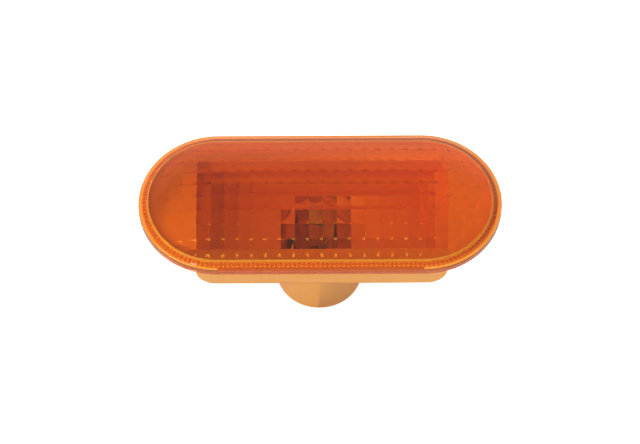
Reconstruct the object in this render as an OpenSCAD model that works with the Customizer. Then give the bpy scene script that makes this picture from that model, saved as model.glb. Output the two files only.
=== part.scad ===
// Side repeater lamp: an oval amber lens welded to a moulded housing that clips into a panel,
// with a bayonet bulb holder and a wedge-base bulb in the collar behind it.
// The lamp lies on its collar with the lens up: +Z points out of the lens, X is the long axis,
// and z = 0 is the plane where the rear of the lens rim seats on the panel.

/* [Lens] */
// Length over the lens rim
lens_l = 108; // [100:1:120]
// Width over the lens rim
lens_w = 47.4; // [46:0.2:50]
// Height of the rim's upright side, its rounded edge included
rim_h = 2.6; // [2.2:0.1:3.2]
// Radius of the rim's rounded upper edge
rim_round = 0.8; // [0.5:0.1:1.2]
// How far the face edge lies inside the rim
face_inset = 2.8; // [2.4:0.1:3.4]
// Height of the face edge over the seating plane
face_z = 3.8; // [3.4:0.1:4.6]
// Rise of the dome from the face edge to the middle
dome_rise = 4.5; // [3:0.1:5.5]
// Wall of the dome where it is thinnest, between the pillows
dome_wall = 1.5; // [1.3:0.1:1.6]
// Wall of the rim skirt round the housing's plate
rim_wall = 1.5; // [1.2:0.1:1.6]

/* [Lens optics] */
// Length of one pillow
cell_l = 4.13; // [3.6:0.01:4.6]
// Width of one pillow
cell_w = 4.36; // [3.6:0.01:4.8]
// How far each pillow bulges inward in each direction
cell_bulge = 0.28; // [0.1:0.02:0.4]
// How far a column line lies off the middle of the lens
cell_shift = 0.7; // [0:0.1:2]
// How far the middle row lies off the middle of the lens
row_shift = 1; // [0:0.1:2]
// Facets along each side of a pillow
cell_steps = 3; // [2:1:3]
// How far the edge of the pillows lies inside the rim
optic_inset = 3.3; // [3.2:0.1:3.8]
// Width of the housing's weld rib and of the groove in the lens that it fills
weld_w = 0.5; // [0.4:0.1:0.6]
// Height of the weld rib's top over the seating plane
weld_z = 3; // [2.7:0.1:3.1]
// Spacing of the fine ribs under the sloping band
rib_pitch = 1.36; // [1.2:0.02:2]
// Reach of the fine ribs inward
rib_depth = 1; // [0.8:0.1:1]
// Height of the ceiling that the fine ribs hang from
rib_z = 2; // [1.8:0.1:2.2]
// Width of the land inside the skirt that bears on the plate's edge
rib_land = 0.2; // [0.1:0.1:0.3]

/* [Housing] */
// Thickness of the plate that is let into the lens skirt and welded there
plate_t = 1.2; // [1:0.1:1.4]
// Wall of the tub and the collar
wall = 2; // [1.6:0.1:2.4]
// Distance from each end of the lens to the inside of the tub at its mouth
tub_end = 17; // [15:0.1:19]
// Distance from each side of the lens to the inside of the tub at its mouth
tub_side = 8; // [7:0.1:9]
// How far the middle of the tub lies off the middle of the lens
tub_shift = 0.3; // [-1:0.05:1]
// Depth of the tub behind the seating plane
tub_depth = 16.4; // [13:0.2:18]
// How far the tub's ends lean in over its depth
tub_lean = 3; // [0.5:0.1:4]
// How far the tub's sides lean in over its depth
side_lean = 0.5; // [0.2:0.1:1.5]
// Radius of the tub's lower end edges
tub_round = 7; // [3:0.5:10]
// Radius of the edges along the tub's floor
side_round = 0.6; // [0.4:0.1:1.5]
// Radius of the tub's corners seen from the front
corner_round = 2.5; // [1:0.5:4]

/* [Collar] */
// Outside diameter of the collar
collar_d = 26; // [25:0.5:28]
// Bore of the collar
bore_d = 21.6; // [21:0.1:22]
// How far the collar's end lies behind the seating plane
collar_depth = 38; // [35:0.5:40]
// How far the middle of the collar lies off the middle of the lens
collar_shift = -0.2; // [-1:0.1:1]
// Radius of the collar's outer end edge
collar_round = 0.4; // [0.3:0.1:1]

/* [Clips] */
// Thickest panel that the clips hold
panel_t = 1.5; // [1:0.1:1.8]
// Width of the fixed hook
hook_w = 11; // [8:1:14]
// Reach of the fixed hook behind the panel
hook_reach = 3.4; // [2.5:0.1:4]
// Width of the spring tongue
tongue_w = 9; // [7:1:12]
// Thickness of the spring tongue
tongue_t = 1.2; // [1:0.1:1.6]
// Length of the spring tongue behind the seating plane
tongue_h = 12; // [10:0.5:14]
// Gap between the tub and the spring tongue
tongue_gap = 2.4; // [2:0.1:3]
// Reach of the catch on the spring tongue
catch_reach = 2.2; // [1.5:0.1:2.6]
// Height of the sloping face of the catch
catch_h = 5; // [4:0.5:6]
// Thickness of the hook's lip
lip_t = 1.8; // [1.4:0.1:2.4]
// Thickness of the gussets under the plate
gusset_t = 1.4; // [1:0.1:2]

/* [Bulb holder] */
// Running gap between the holder's barrel and the collar's bore
barrel_gap = 0.25; // [0.15:0.05:0.4]
// How far the holder's front lies behind the seating plane
holder_front = 14.2; // [13.8:0.1:16]
// How far the socket deck lies behind the seating plane
deck_depth = 19.2; // [18.5:0.1:20]
// How far the holder's rear lies inside the collar's end
holder_recess = 0.6; // [0.4:0.1:2]
// Collar wall left behind the bayonet lugs
lug_land = 1.8; // [1.4:0.1:2.4]
// Wall of the barrel's front cup
cup_wall = 1.5; // [1.2:0.1:2]
// Height of the bayonet lugs
lug_h = 2.4; // [2:0.1:3]
// Reach of the bayonet lugs into the collar's wall
lug_reach = 0.9; // [0.6:0.1:1.1]
// Angle that each bayonet lug spans
lug_angle = 30; // [20:2:40]
// Angle that the holder turns from entry to locked
turn_angle = 42; // [40:2:60]
// Gap round the lugs in their grooves
lug_gap = 0.2; // [0.1:0.05:0.3]
// Inside length of the harness plug shroud
plug_l = 13.4; // [12:0.2:14]
// Inside width of the harness plug shroud
plug_w = 9.6; // [9:0.2:10]
// Wall between the bulb's slot and the plug shroud
roof_t = 1.2; // [1:0.1:1.6]
// Section diameter of the sealing ring
seal_d = 1.6; // [1.4:0.1:1.8]

/* [Contacts] */
// Width of each contact
blade_w = 2.8; // [2.4:0.1:3]
// Thickness of the plug blades
blade_t = 0.8; // [0.6:0.1:0.8]
// Length of the plug blades in the shroud
blade_l = 4.4; // [3.5:0.1:5]
// Thickness of the contact springs
spring_t = 0.4; // [0.3:0.05:0.5]
// Gap round each contact where it passes through the holder
contact_gap = 0.05; // [0.02:0.01:0.1]

/* [Bulb] */
// Diameter of the glass envelope
glass_d = 10.2; // [9.8:0.1:10.3]
// Overall length of the bulb
bulb_h = 26.8; // [25:0.1:26.8]
// Wall of the glass envelope
glass_t = 0.6; // [0.5:0.1:0.8]
// Width of the wedge base
wedge_w = 9.6; // [9.2:0.1:9.8]
// Thickness of the wedge base
wedge_t = 2.2; // [2:0.1:2.4]
// Height of the wedge base
wedge_h = 8.6; // [8:0.1:8.8]
// Diameter of the lead wires
lead_d = 0.5; // [0.4:0.05:0.6]
// Distance between the lead wires
lead_gap = 5; // [4:0.2:5.6]
// Height of the filament over the bulb's base
filament_z = 16.2; // [15:0.1:17]
// Turns of the filament coil
filament_turns = 12; // [8:1:14]
// Radius of the filament coil
filament_r = 0.4; // [0.3:0.05:0.6]
// Radius of the wire in the filament coil
filament_wire = 0.09; // [0.06:0.01:0.12]
// Gap between the glass and the socket deck
seat_gap = 0.4; // [0.2:0.1:0.6]
// Gap round the wedge base in its slot
slot_gap = 0.15; // [0.1:0.05:0.3]

/* [Hidden] */
// How far a cutting shape runs past the face that it opens
over = 1;
$fn = 96;

// Lens values
lens_r = lens_w / 2;
straight = lens_l - lens_w;
face_r = lens_r - face_inset;
dome_r = (pow(face_r, 2) + pow(dome_rise, 2)) / (2 * dome_rise);
dome_top = face_z + dome_rise;
cell_cols = ceil(lens_l / cell_l) + 1;
cell_rows = 2 * floor(lens_w / cell_w / 2) + 3;
skirt_perimeter = 2 * straight + PI * (lens_w - 2 * rim_wall);
rib_count = round(skirt_perimeter / rib_pitch);

// Housing values
tub_l = lens_l - 2 * tub_end;
tub_w = lens_w - 2 * tub_side;
mouth_l = tub_l + 2 * wall;
mouth_w = tub_w + 2 * wall;
tub_floor = tub_depth - wall;
collar_r = collar_d / 2;
bore_r = bore_d / 2;
neck_x = mouth_l / 2 + wall;
tongue_x = mouth_l / 2 + tongue_gap;
catch_x = tongue_x + tongue_t;
gusset_h = tub_depth / 2;
gusset_l = 2 * wall;

// Holder values, with depths measured back from the seating plane
barrel_r = bore_r - barrel_gap;
holder_rear = collar_depth - holder_recess;
lug_bottom = collar_depth - lug_land;
lug_top = lug_bottom - lug_h;
groove_r = barrel_r + lug_reach + lug_gap;
entry_angle = lug_angle + 2 * lug_gap / bore_r * 180 / PI;
seal_depth = lug_top - lug_gap - wall / 2 - seal_d;
seal_mid_r = bore_r - seal_d / 2;
seal_room = seal_d + 2 * barrel_gap;

// Bulb and contact values
glass_r = glass_d / 2;
shoulder_r = glass_r / 2;
lead_r = lead_d / 2;
lead_x = lead_gap / 2;
bend_r = (wedge_t / 2 + lead_r) / 2;
lead_drop = bend_r + lead_r;
lead_up = wedge_h * 0.6;
bulb_base = deck_depth + wedge_h - seat_gap;
slot_floor = bulb_base + lead_drop;
slot_l = wedge_w + 2 * slot_gap;
slot_w = wedge_t + 2 * lead_d + 2 * slot_gap;
plug_roof = slot_floor + roof_t;
spring_y = wedge_t / 2 + lead_d;
blade_end = plug_roof + blade_t + blade_l;

// An oval outline, its edge moved in by inset
module oval(inset = 0) {
    square([straight, lens_w - 2 * inset], center = true);
    for (side = [-1, 1])
        translate([side * straight / 2, 0])
            circle(r = lens_r - inset);
}

// The child profile, drawn from the middle outward, carried round the oval
module carried_round_oval() {
    for (side = [0, 1]) {
        rotate([90, 0, 90])
            linear_extrude(straight, center = true)
                mirror([side, 0])
                    children();
        rotate([0, 0, 180 * side])
            translate([straight / 2, 0, 0])
                rotate([0, 0, -90])
                    rotate_extrude(angle = 180)
                        children();
    }
}

// Half section of the lens: upright rim, rounded edge, sloping band and dome
module lens_profile() {
    square([lens_r, rim_h - rim_round]);
    square([lens_r - rim_round, rim_h]);
    translate([lens_r - rim_round, rim_h - rim_round])
        circle(r = rim_round);
    polygon([[0, 0], [lens_r - rim_round, rim_h], [face_r, face_z], [0, face_z]]);
    intersection() {
        translate([0, dome_top - dome_r])
            circle(r = dome_r, $fn = 360);
        square([face_r, dome_top]);
    }
}

// Place at a share of the way round the skirt's wall, its edge moved in by inset
function oval_point(share, inset) =
    let (
        r = lens_r - inset,
        arc = PI * (lens_r - rim_wall),
        way = (share % 1) * 2 * (straight + arc),
        side = way < straight + arc ? 1 : -1,
        rest = side > 0 ? way : way - straight - arc,
        turn = max(0, rest - straight) / arc * 180
    )
    rest < straight
        ? [side * (rest - straight / 2), -side * r]
        : [side * (straight / 2 + r * sin(turn)), -side * r * cos(turn)];

// Outline of the room under the sloping band: each rib stands inward from the skirt's wall
module ribbed_oval() {
    polygon([for (i = [0 : rib_count - 1], step = [0 : 3])
        oval_point((i + floor((step + 1) / 2) / 2) / rib_count,
            rim_wall + rib_land + (step < 2 ? 0 : rib_depth))]);
}

// Outline of the weld rib
module weld_ring() {
    difference() {
        oval(optic_inset - weld_w);
        oval(optic_inset);
    }
}

// Height of the inside of the lens, with one pillow in each cell
function dome_height(x, y) =
    let (end = max(0, abs(x) - straight / 2))
    dome_top - dome_r + sqrt(pow(dome_r, 2) - pow(end, 2) - pow(y, 2));
function bulge(share) = cell_bulge * (1 - pow(2 * share - 1, 2));
function inside_height(x, y, col, row) =
    dome_height(x, y) - dome_wall - bulge(col) - bulge(row);

// Solid under the pillows, taken out of the dome
module pillow_block() {
    cols = cell_cols * cell_steps;
    rows = cell_rows * cell_steps;
    wide = rows + 1;
    floor_z = plate_t - over;
    points = [for (i = [0 : cols], j = [0 : rows])
        let (
            x = (i / cell_steps - cell_cols / 2) * cell_l + cell_shift,
            y = (j / cell_steps - cell_rows / 2) * cell_w + row_shift
        )
        [x, y, inside_height(x, y, (i % cell_steps) / cell_steps, (j % cell_steps) / cell_steps)]];
    corners = [for (i = [0, cols], j = [0, rows])
        [points[i * wide + j][0], points[i * wide + j][1], floor_z]];
    n = len(points);
    top = [for (i = [0 : cols - 1], j = [0 : rows - 1], half = [0, 1])
        let (a = i * wide + j, b = a + wide)
        half == 0 ? [a, a + 1, b + 1] : [a, b + 1, b]];
    near = concat([for (i = [0 : cols]) i * wide], [n + 2, n]);
    far = concat([for (i = [cols : -1 : 0]) i * wide + rows], [n + 1, n + 3]);
    left = concat([for (j = [rows : -1 : 0]) j], [n, n + 1]);
    right = concat([for (j = [0 : rows]) cols * wide + j], [n + 3, n + 2]);
    polyhedron(concat(points, corners),
        concat(top, [near, far, left, right, [n, n + 2, n + 3, n + 1]]), convexity = 4);
}

module lens() {
    color("orangered")
        difference() {
            carried_round_oval()
                lens_profile();
            translate([0, 0, -over])
                linear_extrude(plate_t + over)
                    oval(rim_wall);
            translate([0, 0, plate_t / 2])
                linear_extrude(rib_z - plate_t / 2)
                    difference() {
                        ribbed_oval();
                        oval(optic_inset - weld_w / 2);
                    }
            translate([0, 0, plate_t / 2])
                linear_extrude(weld_z - plate_t / 2)
                    weld_ring();
            intersection() {
                pillow_block();
                translate([0, 0, plate_t / 2])
                    linear_extrude(dome_top)
                        oval(optic_inset - weld_w / 4);
            }
        }
}

// Outline from over above the seating plane down to depth: sides that lean in and a rounded edge
module tub_outline(half, depth, lean, edge_r) {
    slope = atan(lean / depth);
    arc_x = half - (depth - edge_r) * tan(slope) - edge_r / cos(slope);
    edge = [for (i = [0 : 8])
        let (turn = slope + (90 - slope) * i / 8)
        [arc_x + edge_r * cos(turn), edge_r - depth - edge_r * sin(turn)]];
    top = [half + over * tan(slope), plate_t + over];
    polygon(concat([top], edge, [for (i = [8 : -1 : 0]) [-edge[i][0], edge[i][1]]],
        [[-top[0], top[1]]]));
}

// The tub's room, or its outside where grow is the wall
module tub_shape(grow) {
    long = tub_l + 2 * grow;
    wide = tub_w + 2 * grow;
    depth = tub_floor + grow;
    corner = corner_round + grow - wall;
    translate([tub_shift, 0, 0])
        intersection() {
            rotate([90, 0, 0])
                linear_extrude(wide + 2 * over, center = true)
                    tub_outline(long / 2, depth, tub_lean, tub_round + grow - wall);
            rotate([90, 0, 90])
                linear_extrude(long + 2 * over, center = true)
                    tub_outline(wide / 2, depth, side_lean, side_round);
            translate([0, 0, -depth - over])
                linear_extrude(depth + plate_t + 3 * over) {
                    square([long + over, wide - 2 * corner], center = true);
                    square([long - 2 * corner, wide + over], center = true);
                    for (x = [-1, 1], y = [-1, 1])
                        translate([x * (long / 2 - corner), y * (wide / 2 - corner)])
                            circle(r = corner);
                }
        }
}

// Collar tube with a rounded outer end edge
module collar_tube() {
    translate([collar_shift, 0, -collar_depth])
        rotate_extrude() {
            square([collar_r - collar_round, collar_depth - tub_floor - wall / 2]);
            translate([0, collar_round])
                square([collar_r, collar_depth - tub_floor - wall / 2 - collar_round]);
            translate([collar_r - collar_round, collar_round])
                circle(r = collar_round);
        }
}

// Part of a ring in the collar's wall, from the way in round through the angle
module groove_sector(angle, height) {
    inner = bore_r - wall / 2;
    rotate([0, 0, -entry_angle / 2])
        rotate_extrude(angle = angle)
            translate([inner, 0])
                square([groove_r - inner, height]);
}

// One bayonet groove: the way in from the collar's end, then the turn that locks the lug
module bayonet_groove() {
    translate([0, 0, -collar_depth - over])
        groove_sector(entry_angle, lug_land + over + lug_h / 2);
    translate([0, 0, -lug_bottom])
        groove_sector(entry_angle + turn_angle, lug_h + lug_gap);
}

// Fixed hook that goes behind the panel at one end
module hook() {
    base_x = mouth_l / 2 - wall / 2;
    translate([tub_shift, 0, 0])
        mirror([1, 0, 0])
            rotate([90, 0, 0])
                linear_extrude(hook_w, center = true)
                    polygon([
                        [base_x, plate_t / 2],
                        [neck_x, plate_t / 2],
                        [neck_x, -panel_t],
                        [neck_x + hook_reach, -panel_t],
                        [neck_x + hook_reach, -panel_t - lip_t / 2],
                        [neck_x + hook_reach - lip_t / 2, -panel_t - lip_t],
                        [neck_x, -panel_t - lip_t],
                        [base_x, -panel_t - lip_t - wall]
                    ]);
}

// Spring tongue at the other end, with its catch and a pad to press it in
module tongue() {
    pad = tongue_t;
    translate([tub_shift, 0, 0])
        rotate([90, 0, 0])
            linear_extrude(tongue_w, center = true)
                polygon([
                    [tongue_x, plate_t / 2],
                    [catch_x, plate_t / 2],
                    [catch_x, -panel_t],
                    [catch_x + catch_reach, -panel_t],
                    [catch_x + catch_reach, -panel_t - tongue_t / 2],
                    [catch_x, -panel_t - catch_h],
                    [catch_x, pad - tongue_h],
                    [catch_x + pad, -tongue_h],
                    [tongue_x + pad, -tongue_h],
                    [tongue_x, pad - tongue_h]
                ]);
}

// Gussets between the plate and the tub's ends
module gussets() {
    foot = mouth_l / 2 - wall / 2;
    for (side = [-1, 1], y = [-1, 1])
        translate([tub_shift, y * mouth_w / 4, 0])
            mirror([(1 - side) / 2, 0, 0])
                rotate([90, 0, 0])
                    linear_extrude(gusset_t, center = true)
                        polygon([
                            [foot, plate_t / 2],
                            [mouth_l / 2 + gusset_l, plate_t / 2],
                            [mouth_l / 2 + gusset_l, 0],
                            [foot, -gusset_h]
                        ]);
}

module housing() {
    color("sandybrown")
        difference() {
            union() {
                linear_extrude(plate_t)
                    oval(rim_wall);
                translate([0, 0, plate_t / 2])
                    linear_extrude(weld_z - plate_t / 2)
                        weld_ring();
                intersection() {
                    tub_shape(wall);
                    translate([-lens_l / 2, -lens_w / 2, -collar_depth])
                        cube([lens_l, lens_w, collar_depth + plate_t / 2]);
                }
                collar_tube();
                hook();
                tongue();
                gussets();
            }
            tub_shape(0);
            translate([collar_shift, 0, -collar_depth - over])
                cylinder(d = bore_d, h = collar_depth);
            translate([collar_shift, 0, 0])
                for (i = [0 : 2])
                    rotate([0, 0, 120 * i])
                        bayonet_groove();
        }
}

// One bayonet lug in its locked place
module lug() {
    translate([0, 0, -lug_bottom])
        rotate([0, 0, turn_angle - lug_angle / 2])
            rotate_extrude(angle = lug_angle)
                translate([barrel_r - cup_wall, 0])
                    square([cup_wall + lug_reach, lug_h]);
}

// Room for one contact: its pocket beside the wedge and its way through the roof
module contact_room() {
    translate([-lead_x - blade_w / 2 - contact_gap, spring_y - contact_gap, -plug_roof - over])
        cube([blade_w + 2 * contact_gap, spring_t + 2 * contact_gap, plug_roof - deck_depth + 2 * over]);
}

module bulb_holder() {
    color("peru")
        translate([collar_shift, 0, 0])
            difference() {
                union() {
                    translate([0, 0, -holder_rear])
                        cylinder(r = barrel_r, h = holder_rear - holder_front);
                    for (i = [0 : 2])
                        rotate([0, 0, 120 * i])
                            lug();
                }
                translate([0, 0, -deck_depth])
                    cylinder(r = barrel_r - cup_wall, h = deck_depth);
                translate([0, 0, -seal_depth - seal_room / 2])
                    difference() {
                        cylinder(r = bore_r, h = seal_room);
                        translate([0, 0, -over])
                            cylinder(r = bore_r - seal_d, h = seal_room + 2 * over);
                    }
                translate([-slot_l / 2, -slot_w / 2, -slot_floor])
                    cube([slot_l, slot_w, slot_floor - deck_depth + over]);
                for (turn = [0, 180])
                    rotate([0, 0, turn])
                        contact_room();
                translate([-plug_l / 2, -plug_w / 2, -holder_rear - over])
                    cube([plug_l, plug_w, holder_rear - plug_roof + over]);
            }
}

module holder_seal() {
    color("black")
        translate([collar_shift, 0, -seal_depth])
            rotate_extrude()
                translate([seal_mid_r, 0])
                    circle(d = seal_d, $fn = 32);
}

// One contact: a spring beside the wedge, a step under the roof and the plug blade
module contact() {
    color("goldenrod")
        translate([-lead_x, 0, 0])
            rotate([90, 0, 90])
                linear_extrude(blade_w, center = true)
                    polygon([
                        [spring_y, -deck_depth - spring_t],
                        [spring_y + spring_t, -deck_depth],
                        [spring_y + spring_t, -plug_roof - blade_t],
                        [blade_t / 2, -plug_roof - blade_t],
                        [blade_t / 2, -blade_end + blade_t],
                        [blade_t / 4, -blade_end],
                        [-blade_t / 4, -blade_end],
                        [-blade_t / 2, -blade_end + blade_t],
                        [-blade_t / 2, -plug_roof],
                        [spring_y, -plug_roof]
                    ]);
}

module contact_left() {
    translate([collar_shift, 0, 0])
        contact();
}

module contact_right() {
    translate([collar_shift, 0, 0])
        rotate([0, 0, 180])
            contact();
}

// Places its children in the socket, at the middle of the bulb's base
module at_bulb() {
    translate([collar_shift, 0, -bulb_base])
        children();
}

// Half section of the envelope, its surface moved in by inset
module envelope_half(inset) {
    intersection() {
        union() {
            translate([0, wedge_h + shoulder_r])
                square([glass_r - inset, bulb_h - glass_r - wedge_h - shoulder_r]);
            translate([0, wedge_h + inset])
                square([glass_r - shoulder_r, shoulder_r]);
            translate([glass_r - shoulder_r, wedge_h + shoulder_r])
                circle(r = shoulder_r - inset);
            translate([0, bulb_h - glass_r])
                circle(r = glass_r - inset);
        }
        square([glass_r, bulb_h]);
    }
}

module bulb_glass() {
    color("gainsboro", 0.4)
        at_bulb()
            difference() {
                union() {
                    rotate_extrude()
                        envelope_half(0);
                    linear_extrude(wedge_h + glass_t) {
                        square([wedge_w - wedge_t, wedge_t], center = true);
                        for (side = [-1, 1])
                            translate([side * (wedge_w - wedge_t) / 2, 0])
                                circle(d = wedge_t);
                    }
                }
                rotate_extrude()
                    envelope_half(glass_t);
                for (side = [-1, 1])
                    translate([side * lead_x, 0, -over])
                        cylinder(d = lead_d, h = wedge_h + glass_t + 2 * over);
            }
}

// One lead wire: up through the glass to the filament, and folded back outside the wedge
module lead_wire() {
    color("silver")
        at_bulb()
            translate([-lead_x, 0, 0]) {
                cylinder(d = lead_d, h = filament_z + filament_r + lead_r);
                translate([0, bend_r, 0])
                    rotate([90, 0, 90])
                        rotate([0, 0, 180])
                            rotate_extrude(angle = 180)
                                translate([bend_r, 0])
                                    circle(d = lead_d);
                translate([0, 2 * bend_r, 0])
                    cylinder(d = lead_d, h = lead_up);
            }
}

module lead_wire_left() {
    lead_wire();
}

module lead_wire_right() {
    translate([2 * collar_shift, 0, 0])
        rotate([0, 0, 180])
            lead_wire();
}

// Coil between the tips of the lead wires
module filament() {
    steps = 10 * filament_turns;
    sides = 5;
    half = lead_x - lead_r - filament_wire;
    points = [for (i = [0 : steps], j = [0 : sides - 1])
        let (
            turn = 360 * i / 10,
            out = filament_r + filament_wire * cos(360 * j / sides)
        )
        [
            half * (2 * i / steps - 1) + filament_wire * sin(360 * j / sides),
            out * sin(turn),
            out * cos(turn)
        ]];
    skin = [for (i = [0 : steps - 1], j = [0 : sides - 1])
        let (a = i * sides + j, b = i * sides + (j + 1) % sides)
        [a, b, b + sides, a + sides]];
    color("gray")
        at_bulb()
            translate([0, 0, filament_z])
                polyhedron(concat(points), concat(skin, [
                    [for (j = [sides - 1 : -1 : 0]) j],
                    [for (j = [0 : sides - 1]) steps * sides + j]
                ]), convexity = filament_turns);
}

lens();
housing();
bulb_holder();
holder_seal();
contact_left();
contact_right();
bulb_glass();
lead_wire_left();
lead_wire_right();
filament();
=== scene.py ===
"""Side repeater lamp: the looks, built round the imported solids."""

import math

import bmesh
import bpy
from mathutils import Matrix, Vector


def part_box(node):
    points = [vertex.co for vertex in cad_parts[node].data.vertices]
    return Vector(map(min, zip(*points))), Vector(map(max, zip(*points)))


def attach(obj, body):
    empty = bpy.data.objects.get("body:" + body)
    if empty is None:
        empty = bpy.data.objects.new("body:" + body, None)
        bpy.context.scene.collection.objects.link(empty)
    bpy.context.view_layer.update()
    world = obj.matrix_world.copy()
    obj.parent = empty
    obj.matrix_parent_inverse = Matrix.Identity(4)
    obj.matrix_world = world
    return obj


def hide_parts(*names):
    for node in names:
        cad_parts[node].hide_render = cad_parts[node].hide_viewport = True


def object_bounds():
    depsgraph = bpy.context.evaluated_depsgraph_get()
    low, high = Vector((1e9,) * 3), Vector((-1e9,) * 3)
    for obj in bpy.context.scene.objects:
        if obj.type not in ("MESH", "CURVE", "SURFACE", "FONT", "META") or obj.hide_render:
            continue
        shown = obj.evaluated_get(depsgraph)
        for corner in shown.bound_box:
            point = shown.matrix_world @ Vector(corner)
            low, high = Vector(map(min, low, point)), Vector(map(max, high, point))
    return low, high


bl_info = {
    "name": "Side repeater lamp",
    "version": (1, 0, 0),
    "blender": (4, 5, 0),
    "location": "3D View > Sidebar > Lamp",
    "description": "Models and finishes an oval amber side repeater lamp round its solids",
    "category": "Object",
}

MM = 0.001
PLASTIC_IOR = 1.5
ACRYLIC_IOR = 1.49
THIN_GLASS_IOR = 1.2
ROOT = "root"
MERGE_REACH = 0.001 * MM
FLAT_DEGREES = 0.5
LENS_SMOOTH_DEGREES = 16
FLOOR_SIZE = 6
OVERRUN = 1 * MM

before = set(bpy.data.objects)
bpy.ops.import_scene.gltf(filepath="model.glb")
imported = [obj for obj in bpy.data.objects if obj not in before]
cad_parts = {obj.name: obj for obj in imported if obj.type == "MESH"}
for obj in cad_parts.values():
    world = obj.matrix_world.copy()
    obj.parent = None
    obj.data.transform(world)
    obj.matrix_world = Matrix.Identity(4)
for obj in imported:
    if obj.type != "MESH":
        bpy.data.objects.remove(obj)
CAD_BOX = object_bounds()
LENS_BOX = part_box("lens")
HOUSING_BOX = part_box("housing")


class LensSizes(bpy.types.PropertyGroup):
    """Sizes of the lens. Its length, width and height come from the solid."""

    rim_height: bpy.props.FloatProperty(
        name="Rim height",
        description="Height of the rim's upright side with its rounded edge",
        default=2.6 * MM,
        unit="LENGTH",
    )
    rim_round: bpy.props.FloatProperty(
        name="Rim rounding",
        description="Radius of the rim's upper edge",
        default=0.8 * MM,
        unit="LENGTH",
    )
    face_inset: bpy.props.FloatProperty(
        name="Face inset",
        description="How far the face edge lies inside the rim",
        default=2.8 * MM,
        unit="LENGTH",
    )
    face_height: bpy.props.FloatProperty(
        name="Face height",
        description="Height of the face edge over the seating plane",
        default=3.8 * MM,
        unit="LENGTH",
    )
    wall: bpy.props.FloatProperty(
        name="Dome wall",
        description="Wall of the dome between the pillows",
        default=1.5 * MM,
        unit="LENGTH",
    )
    optic_inset: bpy.props.FloatProperty(
        name="Optic inset",
        description="How far the pillows' edge lies inside the rim",
        default=3.3 * MM,
        unit="LENGTH",
    )
    plate_room: bpy.props.FloatProperty(
        name="Plate room",
        description="Height of the room that the housing's plate fills",
        default=1.25 * MM,
        unit="LENGTH",
    )
    rib_top: bpy.props.FloatProperty(
        name="Rib top",
        description="Height of the ceiling that the fine ribs hang from",
        default=2.0 * MM,
        unit="LENGTH",
    )
    weld_width: bpy.props.FloatProperty(
        name="Weld rib width",
        description="Width of the housing's rib that is welded into the lens",
        default=0.5 * MM,
        unit="LENGTH",
    )
    skirt_wall: bpy.props.FloatProperty(
        name="Skirt wall",
        description="Wall of the rim skirt between the ribs",
        default=1.5 * MM,
        unit="LENGTH",
    )
    rib_land: bpy.props.FloatProperty(
        name="Rib land",
        description="Width of the land between the plate's edge and the fine ribs",
        default=0.2 * MM,
        unit="LENGTH",
    )
    rib_reach: bpy.props.FloatProperty(
        name="Rib reach",
        description="Reach of the fine ribs, from the skirt's wall inward",
        default=1.0 * MM,
        unit="LENGTH",
    )
    rib_pitch: bpy.props.FloatProperty(
        name="Rib pitch",
        description="Spacing of the fine ribs round the skirt",
        default=1.36 * MM,
        unit="LENGTH",
    )
    cell_length: bpy.props.FloatProperty(
        name="Pillow length",
        description="Length of one pillow along the lamp",
        default=4.13 * MM,
        unit="LENGTH",
    )
    cell_width: bpy.props.FloatProperty(
        name="Pillow width",
        description="Width of one pillow across the lamp",
        default=4.36 * MM,
        unit="LENGTH",
    )
    cell_bulge: bpy.props.FloatProperty(
        name="Pillow bulge",
        description="How far a pillow bulges inward in each direction",
        default=0.335 * MM,
        unit="LENGTH",
    )
    cell_shift: bpy.props.FloatProperty(
        name="Pillow shift",
        description="How far a column line lies off the middle of the lens",
        default=0.7 * MM,
        unit="LENGTH",
    )
    row_shift: bpy.props.FloatProperty(
        name="Row shift",
        description="How far the middle row lies off the middle of the lens",
        default=1.0 * MM,
        unit="LENGTH",
    )
    cell_facets: bpy.props.IntProperty(
        name="Pillow facets",
        description="Facets along each side of a pillow",
        default=8,
        min=4,
        max=12,
    )
    flat_start: bpy.props.FloatProperty(
        name="Flattening start",
        description="Distance from the lens's middle line at which the pillows start to flatten",
        default=6.0 * MM,
        unit="LENGTH",
    )
    flat_share: bpy.props.FloatProperty(
        name="Flattening share",
        description="Share of their bulge that the pillows have lost at the face edge",
        default=0.42,
        min=0.0,
        max=1.0,
        subtype="FACTOR",
    )


class ShadedChamberSizes(bpy.types.PropertyGroup):
    """The part of the housing's light chamber where shade is painted: its colour deepens towards
    the floor.
    """

    middle_x: bpy.props.FloatProperty(
        name="Middle",
        description="How far the chamber's middle lies off the lens's middle, along the lamp",
        default=0.3 * MM,
        unit="LENGTH",
    )
    half_length: bpy.props.FloatProperty(
        name="Half length",
        description="Half the chamber's length, with part of its wall",
        default=37.6 * MM,
        unit="LENGTH",
    )
    half_width: bpy.props.FloatProperty(
        name="Half width",
        description="Half the chamber's width, with part of its wall",
        default=16.3 * MM,
        unit="LENGTH",
    )
    floor: bpy.props.FloatProperty(
        name="Floor",
        description="Height just under the chamber's floor",
        default=-15.8 * MM,
        unit="LENGTH",
    )
    top: bpy.props.FloatProperty(
        name="Top",
        description="Height near the chamber's mouth",
        default=0.6 * MM,
        unit="LENGTH",
    )
    shade_start_share: bpy.props.FloatProperty(
        name="Pale share",
        description="Share of the chamber's height where the deeper colour starts",
        default=1 / 2,
        min=0.0,
        max=1.0,
        subtype="FACTOR",
    )
    shade_full_share: bpy.props.FloatProperty(
        name="Deep share",
        description="Share of the chamber's height under which the colour is deepest",
        default=1 / 6,
        min=0.0,
        max=1.0,
        subtype="FACTOR",
    )


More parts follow.
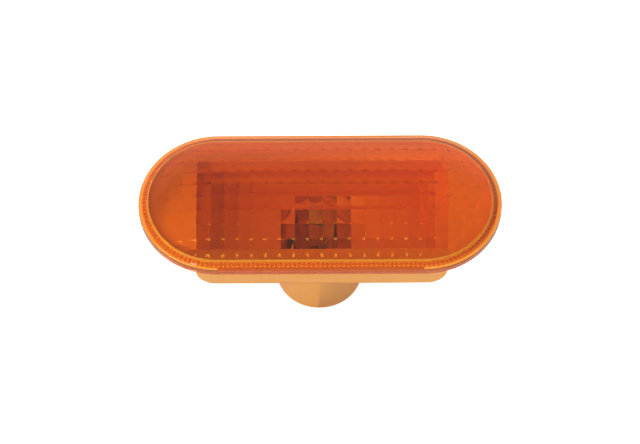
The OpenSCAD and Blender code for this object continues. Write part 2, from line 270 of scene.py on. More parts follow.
class LampColours(bpy.types.PropertyGroup):
    """Colours of the lamp's materials."""

    amber: bpy.props.FloatVectorProperty(
        name="Amber",
        description="Colour that the lens lets through at its surfaces",
        default=(0.99, 0.83, 0.62),
        subtype="COLOR",
    )
    amber_body: bpy.props.FloatVectorProperty(
        name="Amber body",
        description="Colour that the lens plastic lets through in its depth",
        default=(0.99, 0.77, 0.0),
        subtype="COLOR",
    )
    amber_density: bpy.props.FloatProperty(
        name="Amber density",
        description="How strongly the lens plastic absorbs the other colours, per metre",
        default=820.0,
    )
    apricot: bpy.props.FloatVectorProperty(
        name="Apricot",
        description="Colour of the housing's plastic",
        default=(0.84, 0.365, 0.064),
        subtype="COLOR",
    )
    # Painted light: a paler colour painted on the rib welded into the lens, standing in for the
    # light that the amber lets through onto it
    weld: bpy.props.FloatVectorProperty(
        name="Weld rib",
        # Paler colour painted on the housing's rib welded into the lens, as painted light
        description="Paler colour of the housing's weld rib, where the plastic has melted",
        default=(1.0, 0.66, 0.22),
        subtype="COLOR",
    )
    # Painted shade: the housing's colour at the bottom of the light chamber, darkened where shade
    # falls
    chamber_painted_shade: bpy.props.FloatVectorProperty(
        name="Deep apricot",
        # Darker colour painted on the housing towards the bottom of the light chamber, as painted
        # shade
        description="Deeper colour of the housing's plastic at the bottom of the light chamber",
        default=(0.7, 0.22, 0.035),
        subtype="COLOR",
    )
    brown: bpy.props.FloatVectorProperty(
        name="Holder brown",
        description="Colour of the bulb holder's plastic",
        default=(0.46, 0.1, 0.02),
        subtype="COLOR",
    )
    black: bpy.props.FloatVectorProperty(
        name="Seal black",
        description="Colour of the sealing ring's rubber",
        default=(0.032, 0.032, 0.032),
        subtype="COLOR",
    )
    brass: bpy.props.FloatVectorProperty(
        name="Brass",
        description="Colour of the contacts",
        default=(0.78, 0.57, 0.27),
        subtype="COLOR",
    )
    steel: bpy.props.FloatVectorProperty(
        name="Lead wire",
        description="Colour of the lead wires",
        default=(0.62, 0.6, 0.57),
        subtype="COLOR",
    )
    tungsten: bpy.props.FloatVectorProperty(
        name="Tungsten",
        description="Colour of the filament",
        default=(0.2, 0.2, 0.21),
        subtype="COLOR",
    )
    glass: bpy.props.FloatVectorProperty(
        name="Glass",
        description="Colour of the bulb's glass",
        default=(0.99, 1.0, 1.0),
        subtype="COLOR",
    )
    glass_shadow: bpy.props.FloatVectorProperty(
        name="Glass shadow",
        description="Colour of the light that the bulb's glass lets through to what it shades",
        default=(0.97, 0.98, 0.98),
        subtype="COLOR",
    )


class StudioLight(bpy.types.PropertyGroup):
    """Light of the stage, as the camera, the lens and the dull surfaces see it."""

    floor_tone: bpy.props.FloatVectorProperty(
        name="Floor",
        description="Colour of the floor",
        default=(0.8, 0.8, 0.8),
        subtype="COLOR",
    )
    # Painted shade: the floor that the lens sees is darker and warmer than the floor that the
    # camera sees, standing in for its shade under the lamp
    floor_shade_through_lens: bpy.props.FloatVectorProperty(
        name="Floor through the lens",
        description="Colour of the floor where it is seen through the lens",
        default=(0.8, 0.52, 0.42),
        subtype="COLOR",
    )
    floor_glow: bpy.props.FloatProperty(
        name="Floor glow",
        description="Light that the floor gives to the camera, which keeps it white there",
        default=0.6,
    )
    fill_low: bpy.props.FloatProperty(
        name="Fill, low",
        description="Fill light on dull surfaces from in front, the sides and below",
        default=0.5,
    )
    fill_high: bpy.props.FloatProperty(
        name="Fill, high",
        description="Fill light on dull surfaces from the direction where it is strongest",
        default=2.25,
    )
    fill_from: bpy.props.FloatVectorProperty(
        name="Fill direction",
        description="Direction where the fill is strongest: above the lamp and behind it",
        default=(0, 0.5, 0.87),
        subtype="DIRECTION",
    )
    sky_low: bpy.props.FloatProperty(
        name="Sky, low",
        description="Brightness of the sky that gloss and glass see low down",
        default=1.0,
    )
    sky_high: bpy.props.FloatProperty(
        name="Sky, high",
        description="Brightness of the sky that gloss and glass see overhead",
        default=0.5,
    )
    sky_start: bpy.props.FloatProperty(
        name="Sky start",
        description="Upward share of a direction at which the sky starts to fall off",
        default=0.15,
        min=0.0,
        max=1.0,
        subtype="FACTOR",
    )
    sky_end: bpy.props.FloatProperty(
        name="Sky end",
        description="Upward share of a direction at which the sky has fallen off",
        default=0.75,
        min=0.0,
        max=1.0,
        subtype="FACTOR",
    )
    key_place: bpy.props.FloatVectorProperty(
        name="Key place",
        description="Place of the key light, to the left of the lamp, in front and above",
        default=(-0.78, -0.45, 0.72),
        unit="LENGTH",
    )
    key_size: bpy.props.FloatVectorProperty(
        name="Key size",
        description="Length and width of the key light's strip",
        default=(1.0, 0.17),
        size=2,
        unit="LENGTH",
    )
    key_watts: bpy.props.FloatProperty(
        name="Key power",
        description="Power of the key light",
        default=4.4,
        unit="POWER",
    )
    front_place: bpy.props.FloatVectorProperty(
        name="Front place",
        description="Place of the weak light in front of the lamp",
        default=(0.1, -0.9, 0.62),
        unit="LENGTH",
    )
    front_size: bpy.props.FloatVectorProperty(
        name="Front size",
        description="Length and width of the front light's strip",
        default=(1.2, 0.3),
        size=2,
        unit="LENGTH",
    )
    front_watts: bpy.props.FloatProperty(
        name="Front power",
        description="Power of the front light",
        default=0.6,
        unit="POWER",
    )


def deselect():
    """Nothing is selected and no object is in edit mode."""
    if bpy.context.mode != "OBJECT":
        bpy.ops.object.mode_set(mode="OBJECT")
    bpy.ops.object.select_all(action="DESELECT")


def pick(piece):
    """Only this piece is selected, and it is active."""
    deselect()
    bpy.context.view_layer.objects.active = piece
    piece.select_set(True)


def edit(piece):
    """Only this piece is selected, and it is in edit mode."""
    pick(piece)
    bpy.ops.object.mode_set(mode="EDIT")


def select_verts(piece, test):
    """In edit mode, the vertices that pass the test are selected, with the edges between them."""
    bpy.ops.mesh.select_mode(type="VERT")
    mesh = bmesh.from_edit_mesh(piece.data)
    for vert in mesh.verts:
        vert.select = test(vert.co)
    mesh.select_flush_mode()
    bmesh.update_edit_mesh(piece.data)


def named(name):
    """The object that an operator has just added, renamed."""
    piece = bpy.context.active_object
    piece.name = name
    piece.data.name = name
    return piece


def settle(piece):
    """The piece's place goes into its mesh, so its object sits at the origin."""
    pick(piece)
    bpy.ops.object.transform_apply(location=True, rotation=True, scale=True)


def boolean(piece, tool, operation):
    """Cuts the piece with the tool, or keeps what they share, and removes the tool."""
    pick(piece)
    cut = piece.modifiers.new("cut", "BOOLEAN")
    cut.operation = operation
    cut.object = tool
    cut.solver = "EXACT"
    bpy.ops.object.modifier_apply(modifier=cut.name)
    bpy.data.objects.remove(tool)


def smooth(piece, degrees):
    """Shades smooth up to an angle between faces."""
    pick(piece)
    bpy.ops.object.shade_smooth_by_angle(angle=math.radians(degrees))


def finish_piece(piece, material, replaced):
    """Gives the piece its material and body, and hides the nodes that it replaces."""
    piece.data.materials.clear()
    piece.data.materials.append(material)
    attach(piece, ROOT)
    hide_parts(*replaced)


def new_material(name):
    """An empty node material and its output."""
    material = bpy.data.materials.new(name)
    material.use_nodes = True
    nodes = material.node_tree.nodes
    nodes.clear()
    output = nodes.new("ShaderNodeOutputMaterial")
    return material, nodes, material.node_tree.links, output


def add_grain(nodes, links, shader, scale, strength, distance=0.1 * MM, detail=3.0):
    """Fine grain in the surface, on object coordinates."""
    place = nodes.new("ShaderNodeTexCoord")
    noise = nodes.new("ShaderNodeTexNoise")
    noise.inputs["Scale"].default_value = scale
    noise.inputs["Detail"].default_value = detail
    bump = nodes.new("ShaderNodeBump")
    bump.inputs["Strength"].default_value = strength
    bump.inputs["Distance"].default_value = distance
    links.new(place.outputs["Object"], noise.inputs["Vector"])
    links.new(noise.outputs["Fac"], bump.inputs["Height"])
    links.new(bump.outputs["Normal"], shader.inputs["Normal"])
    return noise


def blend_colour(nodes, links, noise, socket, low, high, start=0.35, end=0.65):
    """Colour that drifts between two tones with the noise."""
    ramp = nodes.new("ShaderNodeValToRGB")
    ramp.color_ramp.elements[0].position = start
    ramp.color_ramp.elements[0].color = (*low, 1.0)
    ramp.color_ramp.elements[1].position = end
    ramp.color_ramp.elements[1].color = (*high, 1.0)
    links.new(noise.outputs["Fac"], ramp.inputs["Fac"])
    links.new(ramp.outputs["Color"], socket)


def clear_material(name, tint, roughness, refraction, shadow_tint):
    """Clear moulding or glass that refracts, and lets the lamps' light through."""
    material, nodes, links, output = new_material(name)
    shader = nodes.new("ShaderNodeBsdfPrincipled")
    shader.inputs["Base Color"].default_value = (*tint, 1.0)
    shader.inputs["Roughness"].default_value = roughness
    shader.inputs["IOR"].default_value = refraction
    shader.inputs["Transmission Weight"].default_value = 1.0
    passing = nodes.new("ShaderNodeBsdfTransparent")
    passing.inputs["Color"].default_value = (*shadow_tint, 1.0)
    path = nodes.new("ShaderNodeLightPath")
    mix = nodes.new("ShaderNodeMixShader")
    links.new(path.outputs["Is Shadow Ray"], mix.inputs["Fac"])
    links.new(shader.outputs["BSDF"], mix.inputs[1])
    links.new(passing.outputs["BSDF"], mix.inputs[2])
    links.new(mix.outputs["Shader"], output.inputs["Surface"])
    return material, nodes, links, output, shader


def amber_material(colours):
    """Clear amber acrylic: polished, refracting, and deeper where it is thicker."""
    passed = tuple(math.sqrt(c) for c in colours.amber)
    material, nodes, links, output, _ = clear_material(
        "amber_acrylic", colours.amber, roughness=0.02, refraction=ACRYLIC_IOR, shadow_tint=passed
    )
    absorb = nodes.new("ShaderNodeVolumeAbsorption")
    absorb.inputs["Color"].default_value = (*colours.amber_body, 1.0)
    absorb.inputs["Density"].default_value = colours.amber_density
    links.new(absorb.outputs["Volume"], output.inputs["Volume"])
    return material


def glass_material(colours):
    """Clear bulb glass: as a thin envelope it bends light weakly, and its face is uneven."""
    material, nodes, links, _, shader = clear_material(
        "bulb_glass",
        colours.glass,
        roughness=0.01,
        refraction=THIN_GLASS_IOR,
        shadow_tint=colours.glass_shadow,
    )
    add_grain(nodes, links, shader, scale=300.0, strength=0.02)
    return material


def plastic_material(name, colour, drift, roughness, scale, strength):
    """Opaque moulded plastic: its tone drifts by the factor, and it has fine grain."""
    material, nodes, links, output = new_material(name)
    shader = nodes.new("ShaderNodeBsdfPrincipled")
    shader.inputs["Roughness"].default_value = roughness
    shader.inputs["IOR"].default_value = PLASTIC_IOR
    noise = add_grain(nodes, links, shader, scale, strength)
    drifted = tuple(drift * c for c in colour)
    blend_colour(nodes, links, noise, shader.inputs["Base Color"], drifted, tuple(colour))
    links.new(shader.outputs["BSDF"], output.inputs["Surface"])
    return material


def paint_light_above(material, low, high, colour):
    """Painted light: the material's colour turns paler between two heights of the object."""
    nodes = material.node_tree.nodes
    links = material.node_tree.links
    shader = nodes["Principled BSDF"]
    base = shader.inputs["Base Color"].links[0].from_socket
    place = nodes.new("ShaderNodeTexCoord")
    axes = nodes.new("ShaderNodeSeparateXYZ")
    height = nodes.new("ShaderNodeMapRange")
    height.inputs["From Min"].default_value = low
    height.inputs["From Max"].default_value = high
    mix = nodes.new("ShaderNodeMix")
    mix.data_type = "RGBA"
    mix.inputs["B"].default_value = (*colour, 1.0)
    links.new(place.outputs["Object"], axes.inputs["Vector"])
    links.new(axes.outputs["Z"], height.inputs["Value"])
    links.new(height.outputs["Result"], mix.inputs["Factor"])
    links.new(base, mix.inputs["A"])
    links.new(mix.outputs["Result"], shader.inputs["Base Color"])


def paint_chamber_shade(material, chamber, colour):
    """Painted shade: the material's colour deepens towards the floor of the light chamber."""
    nodes = material.node_tree.nodes
    links = material.node_tree.links
    shader = nodes["Principled BSDF"]
    base = shader.inputs["Base Color"].links[0].from_socket
    floor, top = chamber.floor, chamber.top
    place = nodes.new("ShaderNodeTexCoord")
    axes = nodes.new("ShaderNodeSeparateXYZ")
    links.new(place.outputs["Object"], axes.inputs["Vector"])
    # The three comparisons are multiplied: 1 inside the chamber's box and 0 outside
    inside = None
    for axis, centre, half in (
        ("X", chamber.middle_x, chamber.half_length),
        ("Y", 0, chamber.half_width),
        ("Z", (floor + top) / 2, (top - floor) / 2),
    ):
        near = nodes.new("ShaderNodeMath")
        near.operation = "COMPARE"
        near.inputs[1].default_value = centre
        near.inputs[2].default_value = half
        links.new(axes.outputs[axis], near.inputs[0])
        if inside is None:
            inside = near
            continue
        both = nodes.new("ShaderNodeMath")
        both.operation = "MULTIPLY"
        links.new(inside.outputs["Value"], both.inputs[0])
        links.new(near.outputs["Value"], both.inputs[1])
        inside = both
    low = nodes.new("ShaderNodeMapRange")
    low.inputs["From Min"].default_value = floor + chamber.shade_start_share * (top - floor)
    low.inputs["From Max"].default_value = floor + chamber.shade_full_share * (top - floor)
    share = nodes.new("ShaderNodeMath")
    share.operation = "MULTIPLY"
    links.new(axes.outputs["Z"], low.inputs["Value"])
    links.new(low.outputs["Result"], share.inputs[0])
    links.new(inside.outputs["Value"], share.inputs[1])
    mix = nodes.new("ShaderNodeMix")
    mix.data_type = "RGBA"
    mix.inputs["B"].default_value = (*colour, 1.0)
    links.new(share.outputs["Value"], mix.inputs["Factor"])
    links.new(base, mix.inputs["A"])
    links.new(mix.outputs["Result"], shader.inputs["Base Color"])


def metal_material(name, colour, roughness, scale, drift=0.85, strength=0.05):
    """Bare metal: its tone drifts by the factor, and it has fine grain."""
    material, nodes, links, output = new_material(name)
    shader = nodes.new("ShaderNodeBsdfPrincipled")
    shader.inputs["Metallic"].default_value = 1.0
    shader.inputs["Roughness"].default_value = roughness
    noise = add_grain(nodes, links, shader, scale, strength)
    drifted = tuple(drift * c for c in colour)
    blend_colour(nodes, links, noise, shader.inputs["Base Color"], drifted, tuple(colour))
    links.new(shader.outputs["BSDF"], output.inputs["Surface"])
    return material


class Oval:
    """The lens outline: a straight middle between two round ends."""

    def __init__(self):
        low, high = LENS_BOX
        self.radius = (high.y - low.y) / 2
        self.half_straight = (high.x - low.x) / 2 - self.radius
        self.top = high.z

    def dome_height(self, sizes, reach):
        """Height of the dome's outside at a distance from the lens's middle line."""
        face_radius = self.radius - sizes.face_inset
        rise = self.top - sizes.face_height
        dome_radius = (face_radius**2 + rise**2) / (2 * rise)
        return self.top - dome_radius + math.sqrt(dome_radius**2 - reach**2)

    def point(self, place, inset, skirt_inset):
        """Place at a share of the way round the skirt, its edge moved in by inset."""
        radius = self.radius - inset
        arc = math.pi * (self.radius - skirt_inset)
        straight = 2 * self.half_straight
        way = (place % 1.0) * 2 * (straight + arc)
        side = 1 if way < straight + arc else -1
        rest = way if side > 0 else way - straight - arc
        if rest < straight:
            return side * (rest - self.half_straight), -side * radius
        turn = (rest - straight) / arc * math.pi
        x = self.half_straight + radius * math.sin(turn)
        return side * x, -side * radius * math.cos(turn)


def oval_prism(oval, inset, low, high, name, arc_steps=96):
    """Closed prism on the oval, its edge moved in by inset and its sides touching the arcs."""
    # A circle is pulled apart at its middle into the two ends of the oval
    half_step = math.pi / (2 * arc_steps)
    bpy.ops.mesh.primitive_circle_add(
        vertices=2 * arc_steps,
        radius=(oval.radius - inset) / math.cos(half_step),
        fill_type="NGON",
        location=(0, 0, low),
        rotation=(0, 0, half_step),
    )
    prism = named(name)
    settle(prism)
    edit(prism)
    for side in (1, -1):
        select_verts(prism, lambda co: co.x * side > 0)
        bpy.ops.transform.translate(value=(side * oval.half_straight, 0, 0))
    bpy.ops.mesh.select_all(action="SELECT")
    bpy.ops.mesh.extrude_region_move(TRANSFORM_OT_translate={"value": (0, 0, high - low)})
    bpy.ops.mesh.select_all(action="SELECT")
    bpy.ops.mesh.normals_make_consistent(inside=False)
    settle(prism)
    return prism


def lens_body(oval, sizes, edge_steps=6, dome_steps=18):
    """Solid lens body: upright rim, rounded edge, sloping band and dome."""
    face_radius = oval.radius - sizes.face_inset
    body = oval_prism(oval, 0, 0, sizes.rim_height - sizes.rim_round, "lens_dressed")
    rings = []
    for i in range(1, edge_steps + 1):
        turn = math.radians(90 / edge_steps * i)
        inset = sizes.rim_round * (1 - math.cos(turn))
        height = sizes.rim_height - sizes.rim_round * (1 - math.sin(turn))
        rings.append((oval.radius - inset, height))
    rings.append((face_radius, sizes.face_height))
    for i in range(dome_steps - 1, 0, -1):
        radius = face_radius * i / dome_steps
        rings.append((radius, oval.dome_height(sizes, radius)))
    # Each ring is extruded up, then drawn in about the middle of the round end it belongs to
    edit(body)
    level = sizes.rim_height - sizes.rim_round
    select_verts(body, lambda co: co.z > level / 2)
    last = oval.radius
    for radius, height in rings:
        bpy.ops.mesh.extrude_region_move(TRANSFORM_OT_translate={"value": (0, 0, height - level)})
        for side in (1, -1):
            select_verts(body, lambda co: co.x * side > 0 and co.z > (height + level) / 2)
            bpy.ops.transform.resize(
                value=(radius / last, radius / last, 1),
                center_override=(side * oval.half_straight, 0, height),
            )
        select_verts(body, lambda co: co.z > (height + level) / 2)
        last = radius
        level = height
    bpy.ops.mesh.extrude_region_move(TRANSFORM_OT_translate={"value": (0, 0, oval.top - level)})
    for side in (1, -1):
        select_verts(body, lambda co: co.x * side > 0 and co.z > (oval.top + level) / 2)
        bpy.ops.transform.resize(
            value=(0, 0, 1), center_override=(side * oval.half_straight, 0, oval.top)
        )
    bpy.ops.mesh.select_all(action="SELECT")
    bpy.ops.mesh.remove_doubles(threshold=MERGE_REACH)
    bpy.ops.mesh.normals_make_consistent(inside=False)
    settle(body)
    return body


def ribbed_room(oval, sizes):
    """Room under the sloping band, with the fine ribs standing inward from the skirt's wall."""
    radius = oval.radius - sizes.skirt_wall
    around = 4 * oval.half_straight + 2 * math.pi * radius
    ribs = round(around / sizes.rib_pitch)
    low = sizes.plate_room / 2
    gap = sizes.skirt_wall + sizes.rib_land
    tip = gap + sizes.rib_reach
    # Over one spacing the room reaches out into a gap for one half and stops at a rib's tip
    # for the other: share of the spacing and inset at each corner
    corners = ((0, gap), (0.5, gap), (0.5, tip), (1, tip))
    bpy.ops.mesh.primitive_circle_add(
        vertices=len(corners) * ribs, radius=radius, fill_type="NGON", location=(0, 0, 0)
    )
    room = named("ribbed_room")
    for i in range(ribs):
        for step, (share, inset) in enumerate(corners):
            x, y = oval.point((i + share) / ribs, inset, sizes.skirt_wall)
            room.data.vertices[len(corners) * i + step].co = (x, y, low)
    edit(room)
    bpy.ops.mesh.select_all(action="SELECT")
    bpy.ops.mesh.extrude_region_move(TRANSFORM_OT_translate={"value": (0, 0, sizes.rib_top - low)})
    bpy.ops.mesh.select_all(action="SELECT")
    bpy.ops.mesh.normals_make_consistent(inside=False)
    settle(room)
    core = oval_prism(
        oval, sizes.optic_inset - sizes.weld_width / 2, low - OVERRUN, oval.top, "room_core"
    )
    boolean(room, core, "DIFFERENCE")
    return room


def pillow_field(oval, sizes):
    """Block under the pillows: a fine grid shaped by the dome and one pillow in each cell."""
    face_radius = oval.radius - sizes.face_inset
    facets = sizes.cell_facets
    columns = math.ceil(2 * (oval.half_straight + oval.radius) / sizes.cell_length) + 1
    rows = 2 * math.floor(oval.radius / sizes.cell_width) + 3
    length = columns * sizes.cell_length
    width = rows * sizes.cell_width
    bpy.ops.mesh.primitive_grid_add(
        x_subdivisions=columns * facets, y_subdivisions=rows * facets, size=1
    )
    field = named("pillow_field")
    for vert in field.data.vertices:
        column = (vert.co.x + 0.5) * columns
        row = (vert.co.y + 0.5) * rows
        x = vert.co.x * length + sizes.cell_shift
        y = vert.co.y * width + sizes.row_shift
        end = max(0.0, abs(x) - oval.half_straight)
        reach = min(math.hypot(end, y), face_radius)
        dome = oval.dome_height(sizes, reach)
        far = max(0.0, reach - sizes.flat_start) / (face_radius - sizes.flat_start)
        depth = sizes.cell_bulge * (1 - sizes.flat_share * far)
        # Each direction adds a parabola over the cell, highest in its middle
        bulge = sum(
            depth * (1 - (2 * (cell - round(cell - 0.5) - 0.5)) ** 2) for cell in (column, row)
        )
        vert.co = (x, y, dome - sizes.wall - bulge)
    floor = sizes.plate_room / 2
    edit(field)
    bpy.ops.mesh.select_all(action="SELECT")
    bpy.ops.mesh.region_to_loop()
    bpy.ops.mesh.extrude_edges_move(TRANSFORM_OT_translate={"value": (0, 0, floor - oval.top)})
    bpy.ops.transform.resize(value=(1, 1, 0), center_override=(0, 0, floor))
    bpy.ops.mesh.edge_face_add()
    bpy.ops.mesh.select_all(action="SELECT")
    bpy.ops.mesh.normals_make_consistent(inside=False)
    settle(field)
    prism = oval_prism(
        oval, sizes.optic_inset - sizes.weld_width / 4, floor - OVERRUN, oval.top, "optic_prism"
    )
    boolean(field, prism, "INTERSECT")
    return field


class LAMP_OT_lens(bpy.types.Operator):
    """Model the amber lens with its pillow optics and ribbed skirt"""

    bl_idname = "lamp.lens"
    bl_label = "Lens"

    def execute(self, context):
        oval = Oval()
        sizes = context.scene.lens_sizes
        lens = lens_body(oval, sizes)
        plate_room = oval_prism(oval, sizes.skirt_wall, -OVERRUN, sizes.plate_room, "plate_room")
        boolean(lens, plate_room, "DIFFERENCE")
        boolean(lens, ribbed_room(oval, sizes), "DIFFERENCE")
        boolean(lens, pillow_field(oval, sizes), "DIFFERENCE")
        smooth(lens, LENS_SMOOTH_DEGREES)
        finish_piece(lens, amber_material(context.scene.lamp_colours), ["lens"])
        return {"FINISHED"}


def dressed_copy(node, edge=0.0, segments=2, sharp_degrees=40, smooth_degrees=50):
    """Copy of a solid with merged corners, smooth faces and, where edge is set, rounded edges."""
    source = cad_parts[node]
    piece = source.copy()
    piece.data = source.data.copy()
    piece.name = node + "_dressed"
    piece.parent = None
    piece.matrix_world = Matrix.Identity(4)
    for key in list(piece.keys()):
        if key.startswith("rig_"):
            del piece[key]
    bpy.context.scene.collection.objects.link(piece)
    edit(piece)
    bpy.ops.mesh.select_all(action="SELECT")
    bpy.ops.mesh.remove_doubles(threshold=MERGE_REACH)
    bpy.ops.mesh.dissolve_limited(angle_limit=math.radians(FLAT_DEGREES))
    pick(piece)
    if edge:
        rounding = piece.modifiers.new("edges", "BEVEL")
        rounding.width = edge
        rounding.segments = segments
        rounding.limit_method = "ANGLE"
        rounding.angle_limit = math.radians(sharp_degrees)
        rounding.use_clamp_overlap = True
        bpy.ops.object.modifier_apply(modifier=rounding.name)
    smooth(piece, smooth_degrees)
    return piece


class LAMP_OT_housing(bpy.types.Operator):
    """Finish the apricot housing, with painted light on the rib welded into the lens and painted
    shade deeper in its light chamber
    """

    bl_idname = "lamp.housing"
    bl_label = "Housing"

    def execute(self, context):
        colours = context.scene.lamp_colours
        material = plastic_material(
            "apricot_plastic",
            colours.apricot,
            drift=0.97,
            roughness=0.35,
            scale=900.0,
            strength=0.03,
        )
        plate_top = context.scene.lens_sizes.plate_room
        # Painted light: paler colour above the plate, on the rib welded into the lens
        paint_light_above(material, plate_top, HOUSING_BOX[1].z, colours.weld)
        # Painted shade: deeper colour towards the light chamber's floor
        paint_chamber_shade(material, context.scene.chamber_sizes, colours.chamber_painted_shade)
        finish_piece(dressed_copy("housing"), material, ["housing"])
        return {"FINISHED"}


class LAMP_OT_holder(bpy.types.Operator):
    """Finish the bulb holder, its seal and its contacts"""

    bl_idname = "lamp.holder"
    bl_label = "Bulb holder"

    def execute(self, context):
        colours = context.scene.lamp_colours
        moulding = plastic_material(
            "brown_plastic", colours.brown, drift=0.93, roughness=0.4, scale=1500.0, strength=0.06
        )
        rubber = plastic_material(
            "seal_rubber", colours.black, drift=0.625, roughness=0.7, scale=2500.0, strength=0.1
        )
        brass = metal_material("contact_brass", colours.brass, roughness=0.4, scale=2000.0)
        seal_edge = 0.3 * MM
        blade_edge = 0.06 * MM
        for node, material, slot, edge in (
            ("bulb_holder", moulding, "holder_plastic", 0.0),
            ("holder_seal", rubber, "seal_rubber", seal_edge),
            ("contact_left", brass, "contact_brass", blade_edge),
            ("contact_right", brass, "contact_brass", blade_edge),
        ):
            finish_piece(dressed_copy(node, edge), material, [node])
        return {"FINISHED"}


class LAMP_OT_bulb(bpy.types.Operator):
    """Finish the wedge-base bulb: envelope, lead wires and filament"""

    bl_idname = "lamp.bulb"
    bl_label = "Bulb"

    def execute(self, context):
        colours = context.scene.lamp_colours
        steel = metal_material("lead_wire", colours.steel, roughness=0.35, scale=3000.0)
        tungsten = metal_material("tungsten", colours.tungsten, roughness=0.5, scale=4000.0)
        for node, material, slot in (
            ("bulb_glass", glass_material(colours), "bulb_glass"),
            ("lead_wire_left", steel, "lead_wire"),
            ("lead_wire_right", steel, "lead_wire"),
            ("filament", tungsten, "filament_wire"),
        ):
            finish_piece(dressed_copy(node), material, [node])
        return {"FINISHED"}


def seen_directly(nodes, links):
    """Ray paths, and 1 for rays from the camera, gloss or glass but 0 from a dull surface."""
    path = nodes.new("ShaderNodeLightPath")
    shiny = nodes.new("ShaderNodeMath")
    shiny.operation = "MAXIMUM"
    seen = nodes.new("ShaderNodeMath")
    seen.operation = "MAXIMUM"
    links.new(path.outputs["Is Glossy Ray"], shiny.inputs[0])
    links.new(path.outputs["Is Transmission Ray"], shiny.inputs[1])
    links.new(shiny.outputs["Value"], seen.inputs[0])
    links.new(path.outputs["Is Camera Ray"], seen.inputs[1])
    return path, seen


def floor_material(light):
    """Pale floor: white to the camera, with the lamp's soft shadow, and darker and warmer through
    the lens as painted shade.
    """
    material, nodes, links, output = new_material("pale_floor")
    diffuse = nodes.new("ShaderNodeBsdfDiffuse")
    tone = nodes.new("ShaderNodeMix")
    tone.data_type = "RGBA"
    tone.inputs["A"].default_value = (*light.floor_tone, 1.0)
    tone.inputs["B"].default_value = (*light.floor_shade_through_lens, 1.0)
    glow = nodes.new("ShaderNodeEmission")
    level = nodes.new("ShaderNodeMath")
    level.operation = "MULTIPLY"
    level.inputs[1].default_value = light.floor_glow
    add = nodes.new("ShaderNodeAddShader")
    path = nodes.new("ShaderNodeLightPath")
    # Painted shade: rays through the lens see the darker, warmer floor colour
    links.new(path.outputs["Is Transmission Ray"], tone.inputs["Factor"])
    links.new(tone.outputs["Result"], diffuse.inputs["Color"])
    links.new(path.outputs["Is Camera Ray"], level.inputs[0])
    links.new(level.outputs["Value"], glow.inputs["Strength"])
    links.new(diffuse.outputs["BSDF"], add.inputs[0])
    links.new(glow.outputs["Emission"], add.inputs[1])
    links.new(add.outputs["Shader"], output.inputs["Surface"])
    return material


def studio_world(light):
    """White to the camera, and falling off overhead to gloss and glass.

    Dull surfaces get a soft fill instead, strongest from above and behind.
    """
    world = bpy.data.worlds.new("studio")
    world.use_nodes = True
    nodes = world.node_tree.nodes
    links = world.node_tree.links
    nodes.clear()
    output = nodes.new("ShaderNodeOutputWorld")
    fill = nodes.new("ShaderNodeBackground")
    shown = nodes.new("ShaderNodeBackground")
    place = nodes.new("ShaderNodeTexCoord")
    behind = nodes.new("ShaderNodeVectorMath")
    behind.operation = "DOT_PRODUCT"
    behind.inputs[1].default_value = light.fill_from
    soft = nodes.new("ShaderNodeMapRange")
    soft.inputs["To Min"].default_value = light.fill_low
    soft.inputs["To Max"].default_value = light.fill_high
    axes = nodes.new("ShaderNodeSeparateXYZ")
    overhead = nodes.new("ShaderNodeMapRange")
    overhead.interpolation_type = "SMOOTHSTEP"
    overhead.inputs["From Min"].default_value = light.sky_start
    overhead.inputs["From Max"].default_value = light.sky_end
    overhead.inputs["To Min"].default_value = light.sky_low
    overhead.inputs["To Max"].default_value = light.sky_high
    path, seen = seen_directly(nodes, links)
    level = nodes.new("ShaderNodeMath")
    level.operation = "MAXIMUM"
    mix = nodes.new("ShaderNodeMixShader")
    links.new(place.outputs["Generated"], behind.inputs[0])
    links.new(behind.outputs["Value"], soft.inputs["Value"])
    links.new(soft.outputs["Result"], fill.inputs["Strength"])
    links.new(place.outputs["Generated"], axes.inputs["Vector"])
    links.new(axes.outputs["Z"], overhead.inputs["Value"])
    links.new(overhead.outputs["Result"], level.inputs[0])
    links.new(path.outputs["Is Camera Ray"], level.inputs[1])
    links.new(level.outputs["Value"], shown.inputs["Strength"])
    links.new(seen.outputs["Value"], mix.inputs["Fac"])
    links.new(fill.outputs["Background"], mix.inputs[1])
    links.new(shown.outputs["Background"], mix.inputs[2])
    links.new(mix.outputs["Shader"], output.inputs["Surface"])
    bpy.context.scene.world = world


def soft_light(name, place, size, watts):
    """Area light aimed at the lamp, with the strip's length along the lamp."""
    bpy.ops.object.light_add(type="AREA", location=place)
    light = bpy.context.active_object
    light.name = name
    light.data.shape = "RECTANGLE"
    light.data.size = size[0]
    light.data.size_y = size[1]
    light.data.energy = watts
    back = Vector(place).normalized()
    up = back.cross(Vector((1, 0, 0))).normalized()
    along = up.cross(back)
    light.rotation_euler = Matrix((along, up, back)).transposed().to_euler()


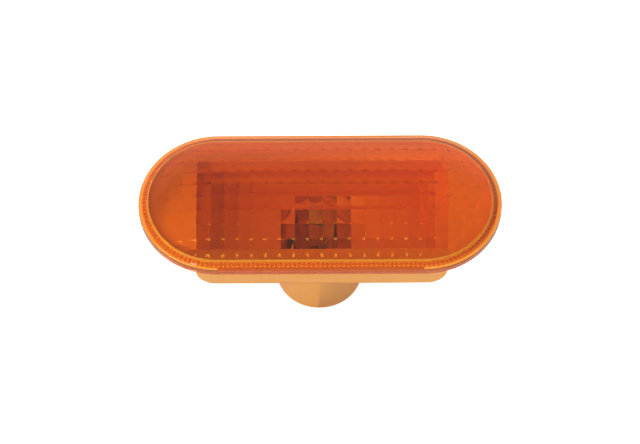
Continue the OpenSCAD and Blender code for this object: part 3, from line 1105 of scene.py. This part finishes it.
def photo_camera():
    """Camera at the photograph's angle, distance and framing."""
    azimuth, elevation, roll = math.radians(-0.83), math.radians(58), math.radians(0.43)
    distance = 0.9
    pixels_per_metre = 3363
    image_width, image_height = 640, 444
    origin_x, origin_y = 320.2, 205.8
    back = Vector(
        (
            math.sin(azimuth) * math.cos(elevation),
            -math.cos(azimuth) * math.cos(elevation),
            math.sin(elevation),
        )
    )
    across = Vector((math.cos(azimuth), math.sin(azimuth), 0))
    over = back.cross(across)
    right = math.cos(roll) * across + math.sin(roll) * over
    up = math.cos(roll) * over - math.sin(roll) * across
    shift_right = (image_width / 2 - origin_x) / pixels_per_metre
    shift_up = (origin_y - image_height / 2) / pixels_per_metre
    place = back * distance + right * shift_right + up * shift_up
    bpy.ops.object.camera_add(location=place)
    camera = bpy.context.active_object
    camera.name = "photo_camera"
    camera.matrix_world = Matrix(
        (
            (right.x, up.x, back.x, place.x),
            (right.y, up.y, back.y, place.y),
            (right.z, up.z, back.z, place.z),
            (0, 0, 0, 1),
        )
    )
    camera.data.sensor_width = 36
    camera.data.lens = pixels_per_metre * distance * camera.data.sensor_width / image_width
    camera.data.clip_start = 0.01
    camera.data.clip_end = 10
    bpy.context.scene.camera = camera


class LAMP_OT_stage(bpy.types.Operator):
    """Set up the pale floor, the soft studio light and the camera"""

    bl_idname = "lamp.stage"
    bl_label = "Stage"

    def execute(self, context):
        light = context.scene.studio_light
        deselect()
        bpy.ops.mesh.primitive_plane_add(size=FLOOR_SIZE, location=(0, 0, CAD_BOX[0].z))
        floor = named("floor")
        settle(floor)
        floor.data.materials.append(floor_material(light))
        studio_world(light)
        soft_light("key", light.key_place, light.key_size, light.key_watts)
        soft_light("front", light.front_place, light.front_size, light.front_watts)
        photo_camera()
        context.scene.view_settings.view_transform = "Standard"
        return {"FINISHED"}


class LAMP_PT_panel(bpy.types.Panel):
    """Builds each piece of the lamp"""

    bl_label = "Side repeater lamp"
    bl_idname = "LAMP_PT_panel"
    bl_space_type = "VIEW_3D"
    bl_region_type = "UI"
    bl_category = "Lamp"

    def draw(self, context):
        for operator in OPERATORS:
            self.layout.operator(operator.bl_idname)


OPERATORS = (LAMP_OT_lens, LAMP_OT_housing, LAMP_OT_holder, LAMP_OT_bulb, LAMP_OT_stage)
CLASSES = (LensSizes, ShadedChamberSizes, LampColours, StudioLight, *OPERATORS, LAMP_PT_panel)


def register():
    for cls in CLASSES:
        bpy.utils.register_class(cls)
    bpy.types.Scene.lens_sizes = bpy.props.PointerProperty(type=LensSizes)
    bpy.types.Scene.chamber_sizes = bpy.props.PointerProperty(type=ShadedChamberSizes)
    bpy.types.Scene.lamp_colours = bpy.props.PointerProperty(type=LampColours)
    bpy.types.Scene.studio_light = bpy.props.PointerProperty(type=StudioLight)


def unregister():
    del bpy.types.Scene.studio_light
    del bpy.types.Scene.lamp_colours
    del bpy.types.Scene.chamber_sizes
    del bpy.types.Scene.lens_sizes
    for cls in reversed(CLASSES):
        bpy.utils.unregister_class(cls)


def main():
    register()
    bpy.ops.lamp.lens()
    bpy.ops.lamp.housing()
    bpy.ops.lamp.holder()
    bpy.ops.lamp.bulb()
    bpy.ops.lamp.stage()


if __name__ == "__main__":
    main()
